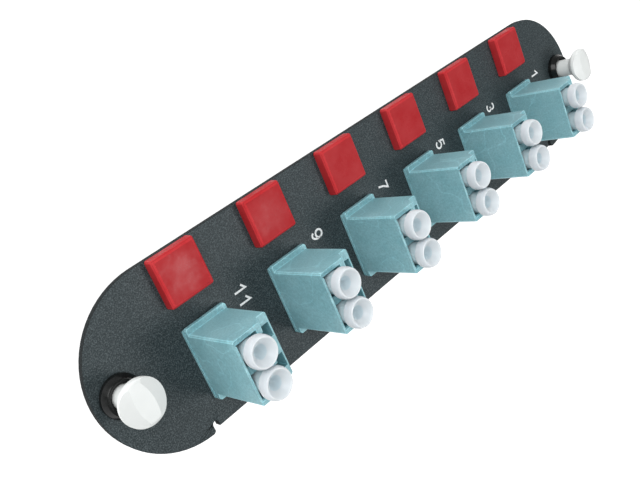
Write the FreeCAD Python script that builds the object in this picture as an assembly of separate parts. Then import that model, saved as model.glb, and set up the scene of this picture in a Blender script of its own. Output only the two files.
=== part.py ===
import FreeCAD, Part
import math
import os
from FreeCAD import Vector

# Fibre adapter panel, in millimetres.
# X runs along the panel, Y across it and Z out of its front face.
# The panel lies front up on the heads of its rear dust plugs, which touch Z = 0.

# Plate
plate_end_margin = 24.95
plate_width = 34.7
plate_thickness = 1.5
edge_inset = 0.7
relief_width = 1.2
relief_depth = 2.1
relief_corner = 0.7
cutout_clearance = 0.1

# Adapter row
adapter_count = 6
adapter_pitch = 21.7
adapter_row_y = -4.4

# Adapter ports, with the latch slots on the +X side
port_pitch = 6.25
port_size = 4.6
side_wall = 1.075
back_wall = 0.45
lead_in = 0.3
divider_setback = 0.8
latch_reach = 4.07
latch_wall = 0.28
latch_slot_width = 2.7
latch_land = 3.0
latch_pocket_width = 4.2
latch_pocket_length = 4.0

# Adapter outside
front_reach = 15.0
rear_reach = 14.0
latch_setback = 2.15
snout_lip = 1.1
snout_ramp = 1.3
housing_edge = 0.3
flange_thickness = 1.5
flange_overhang = 1.1
rear_flange_thickness = 0.5
rear_flange_proud_x = 0.25
rear_flange_short_y = 0.25

# Alignment sleeves and their holders
ferrule_diameter = 1.25
sleeve_wall = 0.18
sleeve_length = 6.8
sleeve_slit = 0.3
sleeve_clearance = 0.06
holder_wall = 0.6
web_thickness = 1.0

# Retaining clips
clip_thickness = 0.2
clip_clearance = 0.02
clip_width = 5.0
clip_below_plate = 0.6
clip_arm_setback = 1.0
clip_band = 0.8
tongue_width = 3.2
tongue_side_gap = 0.3
tongue_spread = 1.0
tongue_gap = 0.05

# Dust plugs
plug_clearance = 0.08
plug_end_gap = 2.04
plug_head_spacing = 0.15
plug_neck = 2.1
plug_rim = 0.9
plug_crown = 0.8
plug_crown_inset = 0.4
plug_funnel_diameter = 2.6
plug_funnel_depth = 1.5
plug_hole_depth = 3.0

# Port blanks
blank_height = 2.3
blank_draft = 0.05
blank_bevel = 0.4
blank_corner = 0.2
blank_edge_margin = 0.05
blank_shift_x = -0.35
blank_front_wall = 1.0
blank_stem = 7.5
blank_lip = 1.1
blank_stem_wall = 0.9
blank_stem_depth = 3.0
blank_barb = 0.4
blank_barb_length = 2.4
blank_barb_width = 3.5

# Fasteners
fastener_end_margin = 5.2
shaft_diameter = 4.4
running_clearance = 0.05
grommet_lip = 0.6
grommet_lip_edge = 0.9
grommet_slope = 0.7
grommet_height = 2.0
grommet_seat_depth = 0.7
grommet_bore_past_plate = 0.5
leg_wall = 0.65
leg_length = 3.0
leg_slot = 0.9
leg_barb = 0.3
leg_barb_length = 0.8
plunger_travel = 3.7
plunger_flare = 2.0
plunger_cone_height = 1.9
plunger_rim = 1.3
plunger_crown = 0.4
plunger_crown_inset = 0.5
plunger_tip_length = 2.2
plunger_tip_diameter = 2.6
shoulder_room = 0.5
shoulder_clearance = 0.15
shoulder_height = 0.9
shoulder_gap = 0.05
grip_bar_width = 3.4
grip_bar_end_width = 1.4
grip_slope = 0.4
grip_turn = 5.0

# Flat facets round each turned form, few where a piece repeats
plug_sides = 16
sleeve_sides = 10
fastener_sides = 20

# How far a cutting tool runs past the face that it opens
over = 1.0

# How far apart two points may be and still count as one
tolerance = 1e-4

# Sizes that follow from those above
body_x = back_wall + port_size + latch_reach + latch_wall
body_y = port_pitch + port_size + 2 * side_wall
port_x = -body_x / 2 + back_wall + port_size / 2
port_edge_x = port_x + port_size / 2
latch_edge_x = body_x / 2 - latch_wall
holder_bore = ferrule_diameter + 2 * sleeve_wall + 2 * sleeve_clearance
holder_size = holder_bore + 2 * holder_wall
holder_length = sleeve_length / 2 + sleeve_clearance
plug_shaft = port_size - 2 * plug_clearance
plug_head_diameter = port_pitch - plug_head_spacing
plug_stand = plug_neck + plug_rim + plug_crown
plate_length = (adapter_count - 1) * adapter_pitch + 2 * plate_end_margin
plate_front_z = rear_reach + plug_stand
front_mouth = front_reach - rear_flange_thickness
rear_mouth = rear_reach + rear_flange_thickness
blank_size = blank_stem + 2 * blank_lip
blank_row_y = plate_width / 2 - blank_edge_margin - blank_size / 2
fastener_x = plate_length / 2 - fastener_end_margin
grommet_bore = shaft_diameter / 2 + running_clearance
grommet_bore_end = -plate_thickness - grommet_bore_past_plate
leg_inner = grommet_bore + shoulder_room
grommet_barrel = leg_inner + leg_wall
plunger_head = shaft_diameter / 2 + plunger_flare
plunger_cone_base = grommet_height - grommet_seat_depth + plunger_travel
octagon_cut = 1 - math.sqrt(0.5)


def block(x_span, y_span, z_span):
    """A box between two limits on each axis."""
    corner = Vector(x_span[0], y_span[0], z_span[0])
    return Part.makeBox(x_span[1] - x_span[0], y_span[1] - y_span[0], z_span[1] - z_span[0], corner)


def polygon_face(corners):
    """A flat face with the given corner points."""
    return Part.Face(Part.makePolygon(corners + corners[:1]))


def closed_solid(faces):
    """The solid that a closed set of faces bounds."""
    shell = Part.makeShell(faces)
    shell.sewShape()
    solid = Part.makeSolid(shell)
    if solid.Volume < 0:
        solid.reverse()
    return solid


def flat_sided(rings):
    """A solid with flat faces between rings of as many corners each, closed at its first and last ring."""
    faces = [polygon_face(rings[0]), polygon_face(rings[-1])]
    for lower, upper in zip(rings, rings[1:]):
        for index in range(len(lower)):
            faces.append(polygon_face([lower[index - 1], lower[index], upper[index], upper[index - 1]]))
    return closed_solid(faces)


def square_ring(size_x, size_y, corner_cut, z):
    """The corners of a rectangle about the Z axis whose own corners are cut off at 45 degrees."""
    half_x = size_x / 2
    half_y = size_y / 2
    corners = [
        (half_x - corner_cut, -half_y),
        (half_x, corner_cut - half_y),
        (half_x, half_y - corner_cut),
        (half_x - corner_cut, half_y),
        (corner_cut - half_x, half_y),
        (-half_x, half_y - corner_cut),
        (-half_x, corner_cut - half_y),
        (corner_cut - half_x, -half_y),
    ]
    return [Vector(x, y, z) for x, y in corners]


def cut_corner_block(size_x, size_y, corner_cut, z_low, z_high):
    """A block about the Z axis whose upright edges are cut off at 45 degrees."""
    face = polygon_face(square_ring(size_x, size_y, corner_cut, z_low))
    return face.extrude(Vector(0, 0, z_high - z_low))


def side_profile(points, y_low, y_high):
    """A solid with an outline in the XZ plane, between two places along Y."""
    face = polygon_face([Vector(x, y_low, z) for x, z in points])
    return face.extrude(Vector(0, y_high - y_low, 0))


def end_profile(points, x_low, x_high):
    """A solid with an outline in the YZ plane, between two places along X."""
    face = polygon_face([Vector(x_low, y, z) for y, z in points])
    return face.extrude(Vector(x_high - x_low, 0, 0))


def turned(points, sides):
    """A turned form about the Z axis in flat facets, from a closed profile of radius and height pairs."""
    turn = 2 * math.pi / sides
    faces = []
    for (radius, z), (next_radius, next_z) in zip(points, points[1:] + points[:1]):
        for side in range(sides):
            start = (side - 0.5) * turn
            end = (side + 0.5) * turn
            corners = [
                Vector(radius * math.cos(start), radius * math.sin(start), z),
                Vector(radius * math.cos(end), radius * math.sin(end), z),
                Vector(next_radius * math.cos(end), next_radius * math.sin(end), next_z),
                Vector(next_radius * math.cos(start), next_radius * math.sin(start), next_z),
            ]
            if radius == 0:
                corners.pop(0)
            if next_radius == 0:
                corners.pop()
            if len(corners) > 2:
                faces.append(polygon_face(corners))
    return closed_solid(faces).removeSplitter()


def rod(radius, sides, z_low, z_high, x=0, y=0):
    """An upright many-sided rod between two heights."""
    return placed(turned([(0, z_low), (radius, z_low), (radius, z_high), (0, z_high)], sides), x, y, 0)


def placed(shape, x, y, z=plate_front_z):
    """A copy moved to its place on the panel, by default from the plate's front face."""
    copy = shape.copy()
    copy.translate(Vector(x, y, z))
    return copy


def half_turn(shape):
    """The shape turned end for end across the panel, so that what faced the front faces the back."""
    return shape.mirror(Vector(0, 0, 0), Vector(0, 0, 1))


def upright_edges(shape, places):
    """The shape's edges that stand upright at the given X and Y places."""
    found = []
    for edge in shape.Edges:
        start = edge.Vertexes[0].Point
        end = edge.Vertexes[-1].Point
        for x, y in places:
            foot = Vector(x, y, start.z)
            if start.isEqual(foot, tolerance) and end.isEqual(Vector(x, y, end.z), tolerance):
                found.append(edge)
    return found


def panel_plate():
    """The plate: half-round ends, a set-in lower edge with relief notches, and all cut-outs."""
    radius = plate_width / 2
    straight = plate_length / 2 - radius
    notch_outer = straight
    notch_inner = straight - relief_width
    notch_middle = straight - relief_width / 2
    notch_top = -radius + relief_depth
    notch_side = notch_top - relief_width / 2
    inset_y = -radius + edge_inset

    def point(x, y):
        return Vector(x, y, -plate_thickness)

    def line(start, end):
        return Part.makeLine(point(*start), point(*end))

    def arc(start, middle, end):
        return Part.Arc(point(*start), point(*middle), point(*end)).toShape()

    edges = [
        line((-straight, radius), (straight, radius)),
        arc((straight, radius), (plate_length / 2, 0), (straight, -radius)),
        line((notch_outer, -radius), (notch_outer, notch_side)),
        arc((notch_outer, notch_side), (notch_middle, notch_top), (notch_inner, notch_side)),
        line((notch_inner, notch_side), (notch_inner, inset_y)),
        line((notch_inner, inset_y), (-notch_inner, inset_y)),
        line((-notch_inner, inset_y), (-notch_inner, notch_side)),
        arc((-notch_inner, notch_side), (-notch_middle, notch_top), (-notch_outer, notch_side)),
        line((-notch_outer, notch_side), (-notch_outer, -radius)),
        arc((-straight, -radius), (-plate_length / 2, 0), (-straight, radius)),
    ]
    plate = Part.Face(Part.Wire(edges)).extrude(Vector(0, 0, plate_thickness))
    corners = [(side * notch_outer, -radius) for side in (-1, 1)]
    plate = plate.makeFillet(relief_corner, upright_edges(plate, corners))

    gap = 2 * cutout_clearance
    hole_low = -plate_thickness - over
    adapter_hole = cut_corner_block(body_x + gap, body_y + gap, housing_edge, hole_low, over)
    blank_hole = cut_corner_block(blank_stem + gap, blank_stem + gap, blank_corner, hole_low, over)
    hole_radius = grommet_barrel + cutout_clearance
    grommet_hole = Part.makeCylinder(hole_radius, over - hole_low, Vector(0, 0, hole_low))
    tools = []
    for x in adapter_places():
        tools.append(placed(adapter_hole, x, adapter_row_y, 0))
        tools.append(placed(blank_hole, x + blank_shift_x, blank_row_y, 0))
    for x in fastener_places():
        tools.append(placed(grommet_hole, x, 0, 0))
    return plate.cut(tools)


def adapter_places():
    """The X places of the adapters, from port 1 at the +X end."""
    middle = (adapter_count - 1) / 2
    return [(middle - index) * adapter_pitch for index in range(adapter_count)]


def fastener_places():
    """The X places of the two fasteners, left then right."""
    return [-fastener_x, fastener_x]


def port_rows():
    """The Y places of an adapter's two ports, upper then lower."""
    return [port_pitch / 2, -port_pitch / 2]


def port_cavity(y, mouth):
    """The keyed hollow of one port: square opening, latch slot and the pocket behind the latch land."""
    half_port = port_size / 2
    half_slot = latch_slot_width / 2
    half_pocket = latch_pocket_width / 2
    land_end = mouth - latch_setback - latch_land
    pocket_end = land_end - latch_pocket_length
    outside = mouth + over
    across = (y - half_port, y + half_port)
    opening = block((port_x - half_port, port_edge_x), across, (web_thickness, outside))
    slot = block((port_x, latch_edge_x), (y - half_slot, y + half_slot), (pocket_end, outside))
    pocket = block((port_x, latch_edge_x), (y - half_pocket, y + half_pocket), (pocket_end, land_end))
    funnel = flat_sided(
        [
            lead_in_ring(y, half_port, mouth - lead_in),
            lead_in_ring(y, half_port + lead_in + over, mouth + over),
        ]
    )
    return opening.fuse([slot, pocket, funnel])


def lead_in_ring(y, reach, z):
    """A rectangle round a port's -X, +Y and -Y sides, which ends flush with the port on its +X side."""
    corners = [
        (port_x - reach, y - reach),
        (port_edge_x, y - reach),
        (port_edge_x, y + reach),
        (port_x - reach, y + reach),
    ]
    return [Vector(*corner, z) for corner in corners]


def divider_cut(mouth):
    """The gap that sets the wall between the two ports back from their mouths."""
    x_span = (port_x - port_size / 2, port_edge_x)
    return block(x_span, (-port_pitch / 2, port_pitch / 2), (mouth - divider_setback, mouth + over))


def barrel(mouth):
    """One half's body, with the seam at Z = 0 and the port mouths at Z = mouth."""
    body = cut_corner_block(body_x, body_y, housing_edge, 0, mouth)
    snout_end = port_edge_x + snout_lip
    step = side_profile(
        [
            (snout_end, mouth + over),
            (snout_end, mouth),
            (snout_end + snout_ramp, mouth - latch_setback),
            (body_x / 2 + over, mouth - latch_setback),
            (body_x / 2 + over, mouth + over),
        ],
        -body_y / 2 - over,
        body_y / 2 + over,
    )
    body = body.cut([step, divider_cut(mouth)] + [port_cavity(y, mouth) for y in port_rows()])
    holder = cut_corner_block(holder_size, holder_size, holder_size * octagon_cut, 0, holder_length)
    body = body.fuse([placed(holder, port_x, y, 0) for y in port_rows()])
    bore = rod(holder_bore / 2, sleeve_sides, -over, holder_length + over)
    return body.cut([placed(bore, port_x, y, 0) for y in port_rows()])


def adapter_front():
    """The front half: its body and the flange that lies over the plate."""
    flange = cut_corner_block(
        body_x,
        body_y + 2 * flange_overhang,
        housing_edge,
        0,
        flange_thickness - rear_flange_thickness,
    )
    hollow = cut_corner_block(body_x, body_y, housing_edge, -over, flange_thickness)
    half = barrel(front_mouth).fuse(flange.cut(hollow)).removeSplitter()
    return placed(half, 0, 0, rear_flange_thickness)


def clip_span():
    """The lower and upper heights of the retaining clip, below the plate's back."""
    top = -plate_thickness - clip_below_plate
    return top - clip_width, top


def clip_band_shape(inset, thickness, z_span, arm_end):
    """A U-shaped band round the -X, +Y and -Y faces, open towards +X."""
    outer_y = body_y / 2 - inset
    outer_x = -body_x / 2 + inset
    band = block((outer_x, arm_end), (-outer_y, outer_y), z_span)
    inner = block(
        (outer_x + thickness, arm_end + over),
        (thickness - outer_y, outer_y - thickness),
        (z_span[0] - over, z_span[1] + over),
    )
    return band.cut(inner)


def adapter_rear():
    """The rear half: thin flange under the front one, body through the plate and groove for the clip."""
    flange = cut_corner_block(
        body_x + 2 * rear_flange_proud_x,
        body_y + 2 * flange_overhang - 2 * rear_flange_short_y,
        housing_edge,
        0,
        rear_flange_thickness,
    )
    hollow = cut_corner_block(body_x, body_y, housing_edge, -over, flange_thickness)
    body = placed(half_turn(barrel(rear_mouth)), 0, 0, rear_flange_thickness)
    groove_depth = clip_thickness + 2 * clip_clearance
    groove_end = body_x / 2 - clip_arm_setback + clip_clearance
    groove = clip_band_shape(-over, over + groove_depth, clip_span(), groove_end)
    return body.fuse(flange.cut(hollow)).removeSplitter().cut(groove)


def retaining_clip():
    """A spring-steel band with one lanced tongue on each arm, which presses on the plate's back."""
    low, high = clip_span()
    band = clip_band_shape(clip_clearance, clip_thickness, (low, high), body_x / 2 - clip_arm_setback)
    half_window = tongue_width / 2 + tongue_side_gap
    past_arms = body_y / 2 + over
    window = block((-half_window, half_window), (-past_arms, past_arms), (low + clip_band, high - clip_band))
    band = band.cut(window)
    root_y = body_y / 2 - clip_clearance
    tip_z = -plate_thickness - tongue_gap
    tongue = end_profile(
        [
            (root_y, low + clip_band / 2),
            (root_y, low + clip_band),
            (root_y + tongue_spread, tip_z),
            (root_y + tongue_spread - clip_thickness, tip_z),
            (root_y - clip_thickness, low + clip_band),
            (root_y - clip_thickness, low + clip_band / 2),
        ],
        -tongue_width / 2,
        tongue_width / 2,
    )
    other_tongue = tongue.mirror(Vector(0, 0, 0), Vector(0, 1, 0))
    return band.fuse([tongue, other_tongue]).removeSplitter()


def sleeve_pair():
    """The two split sleeves of one adapter, centred on the seam between its halves."""
    low = rear_flange_thickness - sleeve_length / 2
    high = rear_flange_thickness + sleeve_length / 2
    sleeves = []
    for y in port_rows():
        tube = rod(ferrule_diameter / 2 + sleeve_wall, sleeve_sides, low, high, port_x, y)
        bore = rod(ferrule_diameter / 2, sleeve_sides, low - over, high + over, port_x, y)
        slit = block(
            (port_x, port_x + ferrule_diameter / 2 + sleeve_wall + over),
            (y - sleeve_slit / 2, y + sleeve_slit / 2),
            (low - over, high + over),
        )
        sleeves.append(tube.cut([bore, slit]))
    return Part.makeCompound(sleeves)


def dust_plug(mouth):
    """A dust plug for a port of that depth, whose mouth is at Z = 0: shaft, round head and funnel hole."""
    inner_end = holder_length + plug_end_gap - mouth
    shaft = cut_corner_block(plug_shaft, plug_shaft, plug_shaft * octagon_cut, inner_end, plug_neck)
    rim_top = plug_neck + plug_rim
    funnel_z = plug_stand - plug_funnel_depth
    head = turned(
        [
            (0, plug_neck),
            (plug_head_diameter / 2, plug_neck),
            (plug_head_diameter / 2, rim_top),
            (plug_head_diameter / 2 - plug_crown_inset, plug_stand),
            (plug_funnel_diameter / 2, funnel_z),
            (0, funnel_z),
        ],
        plug_sides,
    )
    hole_end = funnel_z - plug_hole_depth
    hole = turned([(0, funnel_z), (plug_funnel_diameter / 2, funnel_z), (0, hole_end)], plug_sides)
    return shaft.fuse(head).cut(hole).removeSplitter()


def port_blank():
    """A square snap-in blank: drafted head with a bevelled front, hollow stem and two barbs."""
    top_size = blank_size - 2 * blank_draft
    front_size = top_size - 2 * blank_bevel
    head = flat_sided(
        [
            square_ring(blank_size, blank_size, blank_corner, 0),
            square_ring(top_size, top_size, blank_corner, blank_height - blank_bevel),
            square_ring(front_size, front_size, blank_corner, blank_height),
        ]
    )
    stem_end = -plate_thickness - blank_stem_depth
    stem = cut_corner_block(blank_stem, blank_stem, blank_corner, stem_end, 0)
    hollow_size = blank_stem - 2 * blank_stem_wall
    hollow = cut_corner_block(
        hollow_size, hollow_size, blank_corner, stem_end - over, blank_height - blank_front_wall
    )
    barb_x = blank_stem / 2
    barb = side_profile(
        [
            (barb_x - blank_stem_wall / 2, -plate_thickness),
            (barb_x + blank_barb, -plate_thickness),
            (barb_x, -plate_thickness - blank_barb_length),
            (barb_x - blank_stem_wall / 2, -plate_thickness - blank_barb_length),
        ],
        -blank_barb_width / 2,
        blank_barb_width / 2,
    )
    other_barb = barb.mirror(Vector(0, 0, 0), Vector(1, 0, 0))
    return head.fuse([stem, barb, other_barb]).cut(hollow).removeSplitter()


def grommet():
    """A split grommet: collar with a seat for the plunger's cone, barrel through the plate and four legs."""
    flange = grommet_barrel + grommet_lip
    leg_end = -plate_thickness - leg_length
    barb = grommet_barrel + leg_barb
    barb_end = -plate_thickness - leg_barb_length
    seat_slope = plunger_flare / plunger_cone_height
    collar = turned(
        [
            (0, grommet_height),
            (flange - grommet_slope, grommet_height),
            (flange, grommet_lip_edge),
            (flange, 0),
            (grommet_barrel, 0),
            (grommet_barrel, -plate_thickness),
            (barb, -plate_thickness),
            (barb, barb_end),
            (0, barb_end),
        ],
        fastener_sides,
    )
    legs = Part.makeCylinder(grommet_barrel, barb_end - leg_end, Vector(0, 0, leg_end))
    inside = turned(
        [
            (0, leg_end - over),
            (leg_inner, leg_end - over),
            (leg_inner, grommet_bore_end),
            (grommet_bore, grommet_bore_end),
            (grommet_bore, grommet_height - grommet_seat_depth),
            (grommet_bore + seat_slope * (grommet_seat_depth + over), grommet_height + over),
            (0, grommet_height + over),
        ],
        fastener_sides,
    )
    slot_reach = (-barb - over, barb + over)
    slot_width = (-leg_slot / 2, leg_slot / 2)
    slot_height = (leg_end - over, grommet_bore_end)
    slot_along = block(slot_reach, slot_width, slot_height)
    slot_across = block(slot_width, slot_reach, slot_height)
    return collar.fuse(legs).cut([inside, slot_along, slot_across])


def grip_slopes(top):
    """What is cut off the top of a plunger's head: the two slopes beside a bowed grip bar."""
    reach = plunger_head + over
    drop = reach * grip_slope
    bow = (grip_bar_width - grip_bar_end_width) / 2
    bow_radius = (plunger_head ** 2 + bow ** 2) / (2 * bow)
    bow_centre = bow_radius - grip_bar_width / 2
    sides = []
    for x in (-bow_centre, bow_centre):
        sides.append(Part.makeCone(bow_radius + reach, bow_radius, drop, Vector(x, 0, top - drop)))
    slopes = Part.makeCylinder(reach, drop + over, Vector(0, 0, top - drop)).cut(sides[0].common(sides[1]))
    slopes.rotate(Vector(0, 0, 0), Vector(0, 0, 1), grip_turn)
    return slopes


def plunger():
    """A plunger as pulled out: shaft, flared head with a grip bar, and the shoulder that keeps it in."""
    shaft = shaft_diameter / 2
    shoulder = leg_inner - shoulder_clearance
    shoulder_top = grommet_bore_end - shoulder_gap
    shoulder_low = shoulder_top - shoulder_height
    tip = shoulder_low - plunger_tip_length
    rim_low = plunger_cone_base + plunger_cone_height
    rim_top = rim_low + plunger_rim
    crown = rim_top + plunger_crown
    body = turned(
        [
            (0, tip),
            (plunger_tip_diameter / 2, tip),
            (shoulder, shoulder_low),
            (shoulder, shoulder_top),
            (shaft, shoulder_top),
            (shaft, plunger_cone_base),
            (plunger_head, rim_low),
            (plunger_head, rim_top),
            (plunger_head - plunger_crown_inset, crown),
            (0, crown),
        ],
        fastener_sides,
    )
    return body.cut(grip_slopes(crown))


def build_nodes():
    """Every piece of the panel in its place, by node name."""
    nodes = {"panel_plate": placed(panel_plate(), 0, 0)}
    pieces = {
        "adapter_front": adapter_front(),
        "adapter_rear": adapter_rear(),
        "retaining_clip": retaining_clip(),
        "sleeve_pair": sleeve_pair(),
    }
    front_plug = placed(dust_plug(front_mouth), port_x, 0, front_reach)
    rear_plug = placed(half_turn(dust_plug(rear_mouth)), port_x, 0, -rear_reach)
    blank = port_blank()
    for index, x in enumerate(adapter_places()):
        for name, shape in pieces.items():
            nodes["%s_%d" % (name, index + 1)] = placed(shape, x, adapter_row_y)
        for row, y in enumerate(port_rows()):
            port = 2 * index + row + 1
            nodes["front_plug_%d" % port] = placed(front_plug, x, adapter_row_y + y)
            nodes["rear_plug_%d" % port] = placed(rear_plug, x, adapter_row_y + y)
        nodes["port_blank_%d" % (index + 1)] = placed(blank, x + blank_shift_x, blank_row_y)
    for side, x in zip(("left", "right"), fastener_places()):
        nodes["grommet_" + side] = placed(grommet(), x, 0)
        nodes["plunger_" + side] = placed(plunger(), x, 0)
    return nodes


os.makedirs("parts", exist_ok=True)
for node_name, node_shape in build_nodes().items():
    node_shape.exportStep("parts/%s.step" % node_name)
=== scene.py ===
import math

import bmesh
import bpy
from mathutils import Matrix, Vector


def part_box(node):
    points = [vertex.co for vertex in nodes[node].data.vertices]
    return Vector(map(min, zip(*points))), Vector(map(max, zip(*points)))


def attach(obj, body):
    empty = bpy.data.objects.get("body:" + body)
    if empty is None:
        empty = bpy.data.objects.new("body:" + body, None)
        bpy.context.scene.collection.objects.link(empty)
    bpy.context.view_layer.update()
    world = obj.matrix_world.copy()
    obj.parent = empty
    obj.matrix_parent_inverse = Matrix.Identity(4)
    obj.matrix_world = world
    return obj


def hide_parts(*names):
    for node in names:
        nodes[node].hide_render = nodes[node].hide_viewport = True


# Looks for the fibre adapter panel. Lengths are written in millimetres and turned into metres by MM.
MM = 0.001

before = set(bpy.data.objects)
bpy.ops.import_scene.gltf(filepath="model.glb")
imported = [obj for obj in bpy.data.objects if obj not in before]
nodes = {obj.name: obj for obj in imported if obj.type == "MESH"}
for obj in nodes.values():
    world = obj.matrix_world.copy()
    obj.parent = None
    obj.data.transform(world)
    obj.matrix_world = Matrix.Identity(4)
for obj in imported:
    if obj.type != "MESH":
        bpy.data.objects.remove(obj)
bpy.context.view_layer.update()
plate_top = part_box("panel_plate")[1].z

# Camera, fitted to the photograph and placed from the adapter row and the plate's front
photo_width_px = 640
photo_focal_px = 793.2
sensor_width = 36.0
camera_near_limit = 1.0
camera_place = Vector((-114.76, 56.33, 121.96))
camera_aim = Vector((-23.77, 4.03, 0.0))
camera_up = Vector((0.4954, 0.8687, -0.0029))

# Lights, in millimetres and watts
light_aim = Vector((0, 0, 20))
overhead_place = Vector((190, -150, 510))
overhead_width = 160
overhead_power = 1.0
front_place = Vector((-180, 120, 520))
front_width = 250
front_power = 0.8
side_place = Vector((-400, 420, 300))
side_width = 400
side_power = 2.35

# Sky and floor, whose glow is the strength of a plain white surface
sky_strength = 0.40
floor_half = 1500
floor_grey = 0.35
floor_roughness = 0.9
floor_glow = 0.9

# Surface tones in linear light, from the darkest to the palest of each
coat_tones = [(0.009, 0.016, 0.018), (0.024, 0.036, 0.040), (0.072, 0.091, 0.097)]
teal_tones = [(0.20, 0.41, 0.455), (0.245, 0.46, 0.505)]
red_tones = [(0.365, 0.019, 0.023), (0.405, 0.032, 0.036)]
black_tones = [(0.004, 0.005, 0.005), (0.009, 0.010, 0.010)]
white_tones = [(0.71, 0.735, 0.725), (0.74, 0.765, 0.755)]
steel_tones = [(0.50, 0.50, 0.49), (0.62, 0.62, 0.61)]
ceramic_tones = [(0.82, 0.82, 0.80), (0.88, 0.88, 0.86)]
ink_tones = [(0.62, 0.64, 0.65), (0.82, 0.84, 0.84)]
# Dust plug tones: the head's own milky tone, the shaft and hole darker as painted shade, the funnel paler
# as painted light
plug_tones = {
    "milky_head_look": [(0.56, 0.60, 0.63), (0.60, 0.64, 0.67)],
    "milky_shaft_painted_shade_look": [(0.43, 0.52, 0.55), (0.48, 0.57, 0.60)],
    "milky_funnel_painted_light_look": [(0.60, 0.64, 0.665), (0.635, 0.675, 0.70)],
    "milky_hole_painted_shade_look": [(0.52, 0.61, 0.65), (0.56, 0.65, 0.69)],
}

# Painted highlights and shade: how much brighter the rounded edges and port rims are painted, and how much
# darker the rear housings' edges, as a multiple of the plain surface's
teal_painted_highlight_lift = 1.3
teal_rear_painted_shade_lift = 0.65
teal_rim_painted_highlight_lift = 1.6
red_painted_highlight_lift = 1.25

# Levels between which most of a noise lies
noise_low = 0.3
noise_middle = 0.5
noise_high = 0.7

# Rounded edges on the CAD nodes, in millimetres and degrees
weld_distance = 0.002
edge_angle = 30.0
housing_round = 0.10
blank_round = 0.22
plate_round = 0.12
round_segments = 2
edge_material = 1

# Rounded corners of turned profiles: the steps of a curve, and the largest share of a side that it takes
ease_steps = 6
ease_share = 0.45

# Adapters, and the narrow rims of their ports
adapter_count = 6
port_half = 2.3
port_lead_in = 0.3
port_pitch = 6.25
rim_width = 0.44
rim_raise = 0.01
rim_edge = 0.05

# Dust plugs
plug_neck = 1.5
plug_rim = 1.5
plug_crown = 0.8
plug_crown_radius = 2.65
plug_funnel_radius = 1.3
plug_funnel_depth = 1.5
plug_hole_depth = 3.0
plug_shaft_radius = 2.22
plug_segments = 64
plug_round = 0.42
upward_tilt = 0.2
shaft_painted_shade_material = 1
funnel_painted_light_material = 2
hole_painted_shade_material = 3

# Fasteners
fastener_segments = 96
crease_angle = 18.0
cut_margin = 1
shaft_radius = 2.2
plunger_head_radius = 4.2
plunger_cone_base = 5.0
plunger_cone_height = 1.9
plunger_rim = 1.3
plunger_crown = 0.4
plunger_crown_inset = 0.5
plunger_tip_length = 2.2
plunger_tip_radius = 1.3
plunger_round = 0.35
shoulder_radius = 2.6
shoulder_height = 0.9
grip_bar_width = 3.4
grip_bar_end_width = 1.4
grip_slope = 0.4
grip_turn = math.radians(5.0)
grip_segments = 3 * fastener_segments
grommet_bore = 2.25
grommet_lip_edge = 0.9
grommet_slope = 0.7
grommet_seat_depth = 0.7
grommet_bore_past_plate = 0.5
grommet_round = 0.15
barrel_radius = 3.4
leg_inner = 2.75
leg_slot = 0.9
leg_barb = 0.3
leg_barb_length = 0.8

# Printed port numbers, placed from the adapters and read along -Y
number_height = 2.7
number_stroke = 0.42
number_spacing = 2.45
number_offset_x = 9.5
number_offset_y = 6.95
ink_thickness = 0.02
arc_steps = 12
sharpest_mitre = 0.5


def new_object(name, data):
    """An object in the scene that holds the given data."""
    made = bpy.data.objects.new(name, data)
    bpy.context.scene.collection.objects.link(made)
    return made


def set_sockets(node, values):
    """Sets a shader node's input sockets by name."""
    for socket, value in values.items():
        node.inputs[socket].default_value = value


def new_material(name, values):
    """A node material whose main shader has the given values, with its tree and that shader."""
    material = bpy.data.materials.new(name)
    material.use_nodes = True
    tree = material.node_tree
    shader = tree.nodes["Principled BSDF"]
    set_sockets(shader, values)
    return material, tree, shader


def add_node(tree, kind, values=None):
    """A new shader node with its input sockets set by name."""
    made = tree.nodes.new(kind)
    set_sockets(made, values or {})
    return made


def noise(tree, scale, detail=2.0, roughness=0.5):
    """Noise over the object's own coordinates, in cells per metre."""
    place = add_node(tree, "ShaderNodeTexCoord")
    made = add_node(tree, "ShaderNodeTexNoise", {"Scale": scale, "Detail": detail, "Roughness": roughness})
    tree.links.new(place.outputs["Object"], made.inputs["Vector"])
    return made.outputs["Fac"]


def greys(*levels):
    """Plain grey tones of the given levels."""
    return [(level, level, level) for level in levels]


def lifted(tones, lift):
    """The tones with their brightness multiplied by a factor."""
    return [tuple(lift * value for value in tone) for tone in tones]


def spread(tones, start=noise_low, end=noise_high):
    """Ramp stops with the tones spread evenly between two levels."""
    step = (end - start) / (len(tones) - 1)
    return [(start + index * step, tone) for index, tone in enumerate(tones)]


def ramp(tree, source, stops):
    """A colour ramp fed by a value, from (position, colour) stops."""
    made = add_node(tree, "ShaderNodeValToRGB")
    elements = made.color_ramp.elements
    while len(elements) < len(stops):
        elements.new(noise_middle)
    for element, (position, colour) in zip(elements, stops):
        element.position = position
        element.color = (*colour, 1.0)
    tree.links.new(source, made.inputs["Fac"])
    return made.outputs["Color"]


def multiplied(tree, first, second):
    """Two colours multiplied."""
    made = add_node(tree, "ShaderNodeMix")
    made.data_type = "RGBA"
    made.blend_type = "MULTIPLY"
    made.inputs["Factor"].default_value = 1.0
    tree.links.new(first, made.inputs["A"])
    tree.links.new(second, made.inputs["B"])
    return made.outputs["Result"]


def facing_front(tree):
    """How far a surface faces the panel's front or back, from 0 on side walls to 1 on flats."""
    surface = add_node(tree, "ShaderNodeNewGeometry")
    parts = add_node(tree, "ShaderNodeSeparateXYZ")
    tree.links.new(surface.outputs["True Normal"], parts.inputs["Vector"])
    size = add_node(tree, "ShaderNodeMath")
    size.operation = "ABSOLUTE"
    tree.links.new(parts.outputs["Z"], size.inputs["Value"])
    return size.outputs["Value"]


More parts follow.
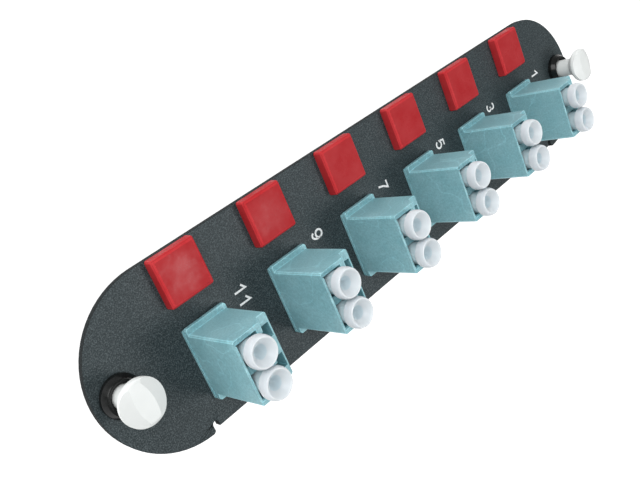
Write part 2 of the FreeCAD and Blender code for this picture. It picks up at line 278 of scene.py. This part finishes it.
def middle_distance(tree):
    """Distance from the middle of a piece's own outline, as a share of its width."""
    place = add_node(tree, "ShaderNodeTexCoord")
    middle = 0.5
    flattened = {"Location": (-middle, -middle, 0.0), "Scale": (1.0, 1.0, 0.0)}
    centred = add_node(tree, "ShaderNodeMapping", flattened)
    tree.links.new(place.outputs["Generated"], centred.inputs["Vector"])
    size = add_node(tree, "ShaderNodeVectorMath")
    size.operation = "LENGTH"
    tree.links.new(centred.outputs["Vector"], size.inputs["Vector"])
    return size.outputs["Value"]


def bump(tree, shader, height, strength, depth):
    """Surface relief from a height value, with its depth in millimetres."""
    made = add_node(tree, "ShaderNodeBump", {"Strength": strength, "Distance": depth * MM})
    tree.links.new(height, made.inputs["Height"])
    tree.links.new(made.outputs["Normal"], shader.inputs["Normal"])


def wander_roughness(tree, shader, source, low, high):
    """Roughness that wanders between two values with a source value."""
    tree.links.new(ramp(tree, source, spread(greys(low, high))), shader.inputs["Roughness"])


def hairlines(tree, scale, width, lift):
    """Thin pale scratches that wander along the middle level of a slow noise."""
    stops = spread(greys(1.0, lift, 1.0), noise_middle - width, noise_middle + width)
    return ramp(tree, noise(tree, scale, detail=1.0), stops)


def powder_coat():
    """Black powder coat with a fine grain and paler specks, duller on the plate's edges, whose walls are
    darkened by painted shade.
    """
    material, tree, shader = new_material("powder_coat_look", {"Specular IOR Level": 0.28})
    grain = noise(tree, scale=4000.0, roughness=0.7)
    specks = ramp(tree, grain, spread(coat_tones, start=0.34, end=0.66))
    # Painted shade: the edge walls and their rounds are painted darker than the flats.
    painted_edge_shade = ramp(tree, facing_front(tree), spread(greys(0.3, 1.0), start=0.3, end=0.9))
    tree.links.new(multiplied(tree, specks, painted_edge_shade), shader.inputs["Base Color"])
    matt = ramp(tree, facing_front(tree), spread(greys(0.9, 0.5), start=0.3, end=0.9))
    tree.links.new(matt, shader.inputs["Roughness"])
    bump(tree, shader, grain, strength=0.65, depth=0.06)
    return material


def moulded_teal(name, lift):
    """Satin teal moulding with flow marks, speckle and hairline scratches, its tones times a factor that
    makes the paler and darker copies for painted highlights and shade.
    """
    fixed = {
        "Specular IOR Level": 0.4,
        "Subsurface Weight": 0.5,
        "Subsurface Radius": (1.0, 1.0, 1.0),
        "Subsurface Scale": 1.0 * MM,
    }
    material, tree, shader = new_material(name, fixed)
    flow = noise(tree, scale=260.0, detail=4.0, roughness=0.6)
    grain = noise(tree, scale=2400.0, detail=3.0, roughness=0.7)
    speckle = ramp(tree, grain, spread(greys(0.82, 1.15)))
    colour = multiplied(tree, ramp(tree, flow, spread(lifted(teal_tones, lift))), speckle)
    colour = multiplied(tree, colour, hairlines(tree, scale=120.0, width=0.011, lift=1.2))
    tree.links.new(colour, shader.inputs["Base Color"])
    wander_roughness(tree, shader, flow, low=0.36, high=0.48)
    bump(tree, shader, noise(tree, scale=3000.0), strength=0.2, depth=0.02)
    return material


def milky_plastic(name, tones):
    """Soft milky plastic of the dust plugs, which light enters."""
    fixed = {
        "Specular IOR Level": 0.35,
        "Subsurface Weight": 0.9,
        "Subsurface Radius": (1.0, 1.0, 1.0),
        "Subsurface Scale": 1.2 * MM,
    }
    material, tree, shader = new_material(name, fixed)
    haze = noise(tree, scale=300.0)
    tree.links.new(ramp(tree, haze, spread(tones)), shader.inputs["Base Color"])
    wander_roughness(tree, shader, haze, low=0.32, high=0.44)
    bump(tree, shader, noise(tree, scale=2200.0), strength=0.15, depth=0.01)
    return material


def red_plastic(name, lift):
    """Satin red moulding of the blanks, duller towards their edges, its tones times a factor that makes
    the paler copy for the painted highlight on their edges.
    """
    material, tree, shader = new_material(name, {"Specular IOR Level": 0.09})
    haze = noise(tree, scale=220.0, detail=4.0, roughness=0.6)
    colour = ramp(tree, haze, spread(lifted(red_tones, lift), start=0.35))
    tree.links.new(colour, shader.inputs["Base Color"])
    wear = noise(tree, scale=420.0, detail=5.0, roughness=0.65)
    scuffs = ramp(tree, wear, spread(greys(0.18, 0.34), start=0.35, end=0.65))
    dulled = ramp(tree, middle_distance(tree), spread(greys(1.0, 2.2), start=0.2, end=0.55))
    tree.links.new(multiplied(tree, scuffs, dulled), shader.inputs["Roughness"])
    bump(tree, shader, noise(tree, scale=3000.0), strength=0.2, depth=0.02)
    return material


def black_plastic():
    """Smooth black plastic of the grommets."""
    material, tree, shader = new_material("black_plastic_look", {"Specular IOR Level": 0.25})
    colour = ramp(tree, noise(tree, scale=800.0), spread(black_tones))
    tree.links.new(colour, shader.inputs["Base Color"])
    wander_roughness(tree, shader, noise(tree, scale=900.0, detail=3.0), low=0.17, high=0.27)
    bump(tree, shader, noise(tree, scale=1800.0), strength=0.12, depth=0.01)
    return material


def white_plastic():
    """Satin white plastic of the plungers, with painted shade on the slopes beside the grip bars and a
    little painted light on the side walls.
    """
    material, tree, shader = new_material("white_plastic_look", {"Specular IOR Level": 0.3})
    colour = ramp(tree, noise(tree, scale=300.0), spread(white_tones))
    # Painted light and shade by how far a surface faces the front: side walls a little lighter, slopes
    # beside the grip bar darker.
    side_level = 0.6
    slope_level = 0.92
    flat_level = 0.99
    stops = list(zip((side_level, slope_level, flat_level), greys(1.06, 0.92, 1.0)))
    painted_light_and_shade = ramp(tree, facing_front(tree), stops)
    tree.links.new(multiplied(tree, colour, painted_light_and_shade), shader.inputs["Base Color"])
    wander_roughness(tree, shader, noise(tree, scale=700.0, detail=3.0), low=0.34, high=0.46)
    bump(tree, shader, noise(tree, scale=2000.0), strength=0.12, depth=0.01)
    return material


def spring_steel():
    """Bright rolled strip of the retaining clips."""
    material, tree, shader = new_material("spring_steel_look", {"Metallic": 1.0})
    colour = ramp(tree, noise(tree, scale=1500.0), spread(steel_tones))
    tree.links.new(colour, shader.inputs["Base Color"])
    grain = noise(tree, scale=900.0, detail=5.0, roughness=0.7)
    wander_roughness(tree, shader, grain, low=0.24, high=0.4)
    bump(tree, shader, grain, strength=0.15, depth=0.01)
    return material


def ceramic():
    """Polished ceramic of the alignment sleeves."""
    material, tree, shader = new_material("ceramic_look", {})
    colour = ramp(tree, noise(tree, scale=800.0), spread(ceramic_tones))
    tree.links.new(colour, shader.inputs["Base Color"])
    wander_roughness(tree, shader, noise(tree, scale=1200.0), low=0.11, high=0.2)
    bump(tree, shader, noise(tree, scale=3000.0), strength=0.1, depth=0.005)
    return material


def white_ink():
    """Matt white screen print."""
    material, tree, shader = new_material("white_ink_look", {})
    colour = ramp(tree, noise(tree, scale=2600.0, detail=3.0), spread(ink_tones, start=0.35, end=0.6))
    tree.links.new(colour, shader.inputs["Base Color"])
    grain = noise(tree, scale=4200.0, roughness=0.7)
    wander_roughness(tree, shader, grain, low=0.6, high=0.8)
    bump(tree, shader, grain, strength=0.4, depth=0.03)
    return material


def dress(node_name, materials):
    """Gives a CAD node its materials."""
    node = nodes[node_name]
    node.data.materials.clear()
    for material in materials:
        node.data.materials.append(material)


def soften(node_name, width):
    """Joins a CAD node's faces and rounds its edges, which get the node's second material, on the adapters
    and blanks a paler or darker copy as painted highlight or shade.
    """
    node = nodes[node_name]
    weld = node.modifiers.new("join_faces", "WELD")
    weld.merge_threshold = weld_distance * MM
    bevel = node.modifiers.new("edge_round", "BEVEL")
    bevel.width = width * MM
    bevel.segments = round_segments
    bevel.limit_method = "ANGLE"
    bevel.angle_limit = math.radians(edge_angle)
    bevel.use_clamp_overlap = False
    bevel.material = edge_material
    normals = node.modifiers.new("flat_normals", "WEIGHTED_NORMAL")
    normals.keep_sharp = False


def finished_mesh(builder, name):
    """The mesh that a builder holds, with its faces turned outwards."""
    bmesh.ops.recalc_face_normals(builder, faces=builder.faces)
    mesh = bpy.data.meshes.new(name)
    builder.to_mesh(mesh)
    builder.free()
    return mesh


def ease_start(corner, other, radius):
    """The point on the side from a corner to another where the corner's rounding starts."""
    side = other - corner
    return corner + side.normalized() * min(radius, side.length * ease_share)


def rounded_profile(points, radius):
    """The profile with each inner corner eased by a short curve, in millimetres."""
    corners = [Vector(point) for point in points]
    eased = [corners[0]]
    for before, corner, after in zip(corners, corners[1:], corners[2:]):
        start = ease_start(corner, before, radius)
        end = ease_start(corner, after, radius)
        for step in range(ease_steps + 1):
            share = step / ease_steps
            eased.append(start.lerp(corner, share).lerp(corner.lerp(end, share), share))
    eased.append(corners[-1])
    return eased


def turned_mesh(name, profile, segments):
    """A mesh turned about the Z axis, from the radius and height pairs of its outline in millimetres."""
    builder = bmesh.new()
    turn = 2 * math.pi / segments
    rings = []
    for radius, z in profile:
        if radius == 0:
            rings.append([builder.verts.new((0, 0, z * MM))] * segments)
            continue
        rings.append([
            builder.verts.new((radius * math.cos(k * turn) * MM, radius * math.sin(k * turn) * MM, z * MM))
            for k in range(segments)
        ])
    for lower, upper in zip(rings, rings[1:]):
        for k in range(segments):
            corners = [lower[k - 1], lower[k], upper[k], upper[k - 1]]
            unique = list(dict.fromkeys(corners))
            if len(unique) > 2:
                builder.faces.new(unique)
    bmesh.ops.remove_doubles(builder, verts=builder.verts, dist=weld_distance * MM)
    for face in builder.faces:
        face.smooth = True
    return finished_mesh(builder, name)


def prism_mesh(name, near, far):
    """A closed mesh between two matching outlines of points in millimetres."""
    builder = bmesh.new()
    starts = [builder.verts.new([value * MM for value in point]) for point in near]
    ends = [builder.verts.new([value * MM for value in point]) for point in far]
    builder.faces.new(starts)
    builder.faces.new(ends)
    for k in range(len(starts)):
        builder.faces.new([starts[k - 1], starts[k], ends[k], ends[k - 1]])
    return finished_mesh(builder, name)


def plug_mesh():
    """A dust plug with the port's mouth at Z = 0."""
    low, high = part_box("front_plug_1")
    head_radius = (high.x - low.x) / 2 / MM
    rim_top = plug_neck + plug_rim
    stand = rim_top + plug_crown
    inner_end = stand - (high.z - low.z) / MM
    profile = [
        (0, inner_end),
        (plug_shaft_radius, inner_end),
        (plug_shaft_radius, plug_neck),
        (head_radius, plug_neck),
        (head_radius, rim_top),
        (plug_crown_radius, stand),
        (plug_funnel_radius, stand - plug_funnel_depth),
        (0, stand - plug_funnel_depth - plug_hole_depth),
    ]
    mesh = turned_mesh("dust_plug", rounded_profile(profile, plug_round), plug_segments)
    # Shaft and hole faces take the darker copies as painted shade, the funnel faces the paler one as
    # painted light
    for face in mesh.polygons:
        upward = face.normal.z > upward_tilt
        if upward and face.center.z < (stand - plug_funnel_depth) * MM:
            face.material_index = hole_painted_shade_material
        elif upward and face.center.xy.length < plug_crown_radius * MM:
            face.material_index = funnel_painted_light_material
        elif not upward and face.center.z < plug_neck * MM:
            face.material_index = shaft_painted_shade_material
    return mesh


def add_plugs(materials):
    """Round dust plugs in place of the faceted ones, each on its own body."""
    mesh = plug_mesh()
    for material in materials:
        mesh.materials.append(material)
    stand = (plug_neck + plug_rim + plug_crown) * MM
    for port in range(1, 2 * adapter_count + 1):
        for end in ("front", "rear"):
            name = "%s_plug_%d" % (end, port)
            low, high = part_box(name)
            piece = new_object("%s_dust_plug_%d" % (end, port), mesh)
            centre = (low + high) / 2
            piece.location = (centre.x, centre.y, high.z - stand if end == "front" else low.z + stand)
            if end == "rear":
                piece.rotation_euler.x = math.pi
            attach(piece, name)
            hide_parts(name)


def rim_mesh():
    """The narrow rim of two ports on the side away from their latches, with their mouths at Z = 0."""
    reach = port_pitch / 2 + port_half
    outer = port_half + rim_width
    far = [
        (-outer, reach + port_lead_in, rim_raise),
        (-port_half, reach, rim_raise),
        (-port_half, reach, -port_lead_in),
        (-outer, reach + port_lead_in, -rim_edge),
    ]
    near = [(x, -y, z) for x, y, z in far]
    return prism_mesh("port_rim", near, far)


def add_rims(material):
    """The ports' narrow rims, at the mouths of the front and rear housings, in a paler teal as a painted
    highlight.
    """
    mesh = rim_mesh()
    mesh.materials.append(material)
    for adapter in range(1, adapter_count + 1):
        for end in ("front", "rear"):
            housing_low, housing_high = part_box("adapter_%s_%d" % (end, adapter))
            plug_low, plug_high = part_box("%s_plug_%d" % (end, 2 * adapter - 1))
            mouth = housing_high.z if end == "front" else housing_low.z
            piece = new_object("%s_port_rim_%d" % (end, adapter), mesh)
            piece.location = ((plug_low.x + plug_high.x) / 2, (housing_low.y + housing_high.y) / 2, mouth)
            if end == "rear":
                piece.rotation_euler.x = math.pi
            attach(piece, "panel")


def carved(mesh, cutters, operation):
    """The mesh with the cutter meshes taken out of it, or with what it shares with them all."""
    piece = new_object(mesh.name, mesh)
    tools = []
    for cutter in cutters:
        tool = new_object("cutter", cutter)
        modifier = piece.modifiers.new("cut", "BOOLEAN")
        modifier.operation = operation
        modifier.solver = "EXACT"
        modifier.object = tool
        tools.append(tool)
    graph = bpy.context.evaluated_depsgraph_get()
    result = bpy.data.meshes.new_from_object(piece.evaluated_get(graph))
    result.set_sharp_from_angle(angle=math.radians(crease_angle))
    for used in [piece] + tools:
        bpy.data.objects.remove(used)
    return result


def slot_mesh(half_x, half_y, low, high):
    """An upright block about the Z axis, in millimetres."""
    outline = [(-half_x, -half_y), (half_x, -half_y), (half_x, half_y), (-half_x, half_y)]
    return prism_mesh("slot", [(x, y, low) for x, y in outline], [(x, y, high) for x, y in outline])


def grip_side_mesh(side, low, top):
    """A wide turned form whose sloped side bounds a plunger's head beside the bowed grip bar."""
    bow = (grip_bar_width - grip_bar_end_width) / 2
    bow_radius = (plunger_head_radius ** 2 + bow ** 2) / (2 * bow)
    bow_centre = bow_radius - grip_bar_width / 2
    reach = 2 * plunger_head_radius
    profile = [
        (0, low - cut_margin),
        (bow_radius + reach, low - cut_margin),
        (bow_radius + reach, top - reach * grip_slope),
        (bow_radius - cut_margin / grip_slope, top + cut_margin),
        (0, top + cut_margin),
    ]
    mesh = turned_mesh("grip_side", profile, grip_segments)
    mesh.transform(Matrix.Translation((-side * bow_centre * MM, 0, 0)))
    mesh.transform(Matrix.Rotation(grip_turn, 4, "Z"))
    return mesh


def plunger_mesh():
    """A plunger with the plate's front at Z = 0: turned body whose head slopes away beside a grip bar."""
    tip = (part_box("plunger_left")[0].z - plate_top) / MM
    shoulder = tip + plunger_tip_length
    rim_low = plunger_cone_base + plunger_cone_height
    rim_top = rim_low + plunger_rim
    crown = rim_top + plunger_crown
    profile = [
        (0, tip),
        (plunger_tip_radius, tip),
        (shoulder_radius, shoulder),
        (shoulder_radius, shoulder + shoulder_height),
        (shaft_radius, shoulder + shoulder_height),
        (shaft_radius, plunger_cone_base),
        (plunger_head_radius, rim_low),
        (plunger_head_radius, rim_top),
        (plunger_head_radius - plunger_crown_inset, crown),
        (0, crown),
    ]
    body = turned_mesh("plunger", rounded_profile(profile, plunger_round), fastener_segments)
    sides = [grip_side_mesh(side, tip, crown) for side in (-1, 1)]
    return carved(body, sides, "INTERSECT")


def grommet_mesh():
    """A split grommet with the plate's front at Z = 0."""
    low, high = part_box("grommet_left")
    flange = (high.x - low.x) / 2 / MM
    top = (high.z - plate_top) / MM
    leg_end = (low.z - plate_top) / MM
    plate_back = (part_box("panel_plate")[0].z - plate_top) / MM
    barb_end = plate_back - leg_barb_length
    bore_end = plate_back - grommet_bore_past_plate
    seat_slope = (plunger_head_radius - shaft_radius) / plunger_cone_height
    profile = [
        (grommet_bore, top - grommet_seat_depth),
        (grommet_bore + seat_slope * grommet_seat_depth, top),
        (flange - grommet_slope, top),
        (flange, grommet_lip_edge),
        (flange, 0),
        (barrel_radius, 0),
        (barrel_radius, plate_back),
        (barrel_radius + leg_barb, plate_back),
        (barrel_radius + leg_barb, barb_end),
        (barrel_radius, barb_end),
        (barrel_radius, leg_end),
        (leg_inner, leg_end),
        (leg_inner, bore_end),
        (grommet_bore, bore_end),
        (grommet_bore, top - grommet_seat_depth),
    ]
    body = turned_mesh("grommet", rounded_profile(profile, grommet_round), fastener_segments)
    reach = barrel_radius + 2 * leg_barb
    along = slot_mesh(reach, leg_slot / 2, leg_end - cut_margin, bore_end)
    across = slot_mesh(leg_slot / 2, reach, leg_end - cut_margin, bore_end)
    return carved(body, [along, across], "DIFFERENCE")


def add_fasteners(white, black):
    """Round plungers and grommets in place of the faceted ones."""
    makers = {"plunger": (plunger_mesh(), white), "grommet": (grommet_mesh(), black)}
    for kind, (mesh, material) in makers.items():
        mesh.materials.clear()
        mesh.materials.append(material)
        for side in ("left", "right"):
            node = "%s_%s" % (kind, side)
            low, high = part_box(node)
            piece = new_object("%s_%s_turned" % (kind, side), mesh)
            piece.location = ((low.x + high.x) / 2, (low.y + high.y) / 2, plate_top)
            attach(piece, node if kind == "plunger" else "panel")
            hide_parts(node)


def arc(centre, radii, start, end):
    """Points on an arc between two angles in degrees."""
    points = []
    for step in range(arc_steps + 1):
        angle = math.radians(start + (end - start) * step / arc_steps)
        points.append((centre[0] + radii[0] * math.cos(angle), centre[1] + radii[1] * math.sin(angle)))
    return points


def digit_stroke(digit):
    """The pen stroke of a digit of height 1 that stands about X = 0."""
    strokes = {
        "1": [(-0.35, 0.7), (0, 1), (0, 0)],
        "3": arc((0, 0.74), (0.26, 0.26), 150, -80) + arc((0, 0.26), (0.3, 0.26), 80, -155),
        "5": [(0.27, 1), (-0.2, 1), (-0.28, 0.5)] + arc((0, 0.32), (0.31, 0.32), 140, -155),
        "7": [(-0.3, 1), (0.3, 1), (0.02, 0.5), (-0.1, 0)],
        "9": arc((0, 0.68), (0.3, 0.32), 0, 360) + arc((0, 0.5), (0.3, 0.5), -5, -140),
    }
    return [Vector(point) for point in strokes[digit]]


def add_ribbon(builder, points, width):
    """Adds a flat band of the given width along the points, as thick as the ink."""
    left = []
    right = []
    for index, point in enumerate(points):
        before = points[max(index - 1, 0)]
        after = points[min(index + 1, len(points) - 1)]
        into = (point - before).normalized() if point != before else (after - point).normalized()
        out = (after - point).normalized() if point != after else into
        along = (into + out).normalized()
        side = Vector((-along.y, along.x)) * width / 2 / max(along.dot(into), sharpest_mitre)
        left.append(point + side)
        right.append(point - side)
    lines = []
    for height in (0, ink_thickness):
        for edge in (left, right):
            lines.append([builder.verts.new((*(spot * MM), height * MM)) for spot in edge])
    low_left, low_right, high_left, high_right = lines
    for k in range(len(points) - 1):
        builder.faces.new([high_left[k], high_right[k], high_right[k + 1], high_left[k + 1]])
        builder.faces.new([low_left[k], high_left[k], high_left[k + 1], low_left[k + 1]])
        builder.faces.new([low_right[k], low_right[k + 1], high_right[k + 1], high_right[k]])
        builder.faces.new([low_left[k], low_left[k + 1], low_right[k + 1], low_right[k]])
    for k in (0, -1):
        builder.faces.new([low_left[k], low_right[k], high_right[k], high_left[k]])


def number_mesh(number):
    """A printed number whose first digit stands about X = 0, with its middle height at Y = 0."""
    builder = bmesh.new()
    for index, digit in enumerate(str(number)):
        shift = Vector((index * number_spacing, -number_height / 2))
        points = [point * number_height + shift for point in digit_stroke(digit)]
        add_ribbon(builder, points, number_stroke)
    return finished_mesh(builder, "number_%d" % number)


def add_numbers(material):
    """The odd port numbers, printed beside the adapters."""
    for index in range(adapter_count):
        number = 2 * index + 1
        low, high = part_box("adapter_front_%d" % (index + 1))
        mesh = number_mesh(number)
        mesh.materials.append(material)
        piece = new_object("printed_number_%d" % number, mesh)
        centre = (low + high) / 2
        piece.location = (centre.x + number_offset_x * MM, centre.y + number_offset_y * MM, plate_top)
        piece.rotation_euler.z = -math.pi / 2
        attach(piece, "panel")


def add_camera():
    """The photograph's camera."""
    data = bpy.data.cameras.new("photo_camera")
    data.sensor_width = sensor_width
    data.lens = photo_focal_px / photo_width_px * sensor_width
    data.clip_start = camera_near_limit * MM
    camera = new_object("photo_camera", data)
    back = (camera_place - camera_aim).normalized()
    right = camera_up.cross(back).normalized()
    up = back.cross(right)
    low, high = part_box("adapter_front_1")
    start = Vector((0, (low.y + high.y) / 2, plate_top))
    turn = Matrix((right, up, back)).transposed().to_4x4()
    camera.matrix_world = Matrix.Translation(start + camera_place * MM) @ turn
    bpy.context.scene.camera = camera


def add_floor():
    """A plain pale floor under the panel."""
    half = floor_half * MM
    mesh = bpy.data.meshes.new("floor")
    corners = [(-half, -half, 0), (half, -half, 0), (half, half, 0), (-half, half, 0)]
    mesh.from_pydata(corners, [], [(0, 1, 2, 3)])
    fixed = {
        "Base Color": (floor_grey, floor_grey, floor_grey, 1.0),
        "Roughness": floor_roughness,
        "Emission Color": (1.0, 1.0, 1.0, 1.0),
        "Emission Strength": floor_glow,
    }
    mesh.materials.append(new_material("floor_look", fixed)[0])
    new_object("floor", mesh)


def add_light(name, place, width, power):
    """A soft square light aimed at the panel."""
    data = bpy.data.lights.new(name, "AREA")
    data.size = width * MM
    data.energy = power
    light = new_object(name, data)
    light.location = place * MM
    light.rotation_euler = (light_aim - place).to_track_quat("-Z", "Y").to_euler()


def add_lights():
    """Plain soft studio light from above, from the front and from the left, under a white sky."""
    add_light("overhead", overhead_place, overhead_width, overhead_power)
    add_light("front_fill", front_place, front_width, front_power)
    add_light("side_fill", side_place, side_width, side_power)
    world = bpy.data.worlds.new("studio")
    world.use_nodes = True
    sky = {"Color": (1.0, 1.0, 1.0, 1.0), "Strength": sky_strength}
    set_sockets(world.node_tree.nodes["Background"], sky)
    bpy.context.scene.world = world
    bpy.context.scene.view_settings.view_transform = "Standard"


coat = powder_coat()
teal = moulded_teal("moulded_teal_look", 1.0)
# A paler teal for the painted highlight on the front housings' rounded edges
teal_painted_highlight = moulded_teal("teal_painted_highlight_look", teal_painted_highlight_lift)
# A darker teal for painted shade on the rear housings' rounded edges
teal_rear_painted_shade = moulded_teal("teal_shade_look", teal_rear_painted_shade_lift)
red = red_plastic("red_plastic_look", 1.0)
# A paler red for the painted highlight on the blanks' rounded edges
red_painted_highlight = red_plastic("red_painted_highlight_look", red_painted_highlight_lift)
looks = {
    "panel_plate": ([coat, coat], plate_round),
    "adapter_front": ([teal, teal_painted_highlight], housing_round),
    "adapter_rear": ([teal, teal_rear_painted_shade], housing_round),
    "port_blank": ([red, red_painted_highlight], blank_round),
    "retaining_clip": ([spring_steel()], 0),
    "sleeve_pair": ([ceramic()], 0),
}
for node_name in nodes:
    for kind, (materials, width) in looks.items():
        if node_name.startswith(kind):
            dress(node_name, materials)
            if width > 0:
                soften(node_name, width)

add_plugs([milky_plastic(name, tones) for name, tones in plug_tones.items()])
# The rims take a paler teal as a painted highlight.
add_rims(moulded_teal("teal_rim_painted_highlight_look", teal_rim_painted_highlight_lift))
add_fasteners(white_plastic(), black_plastic())
add_numbers(white_ink())
add_camera()
add_floor()
add_lights()
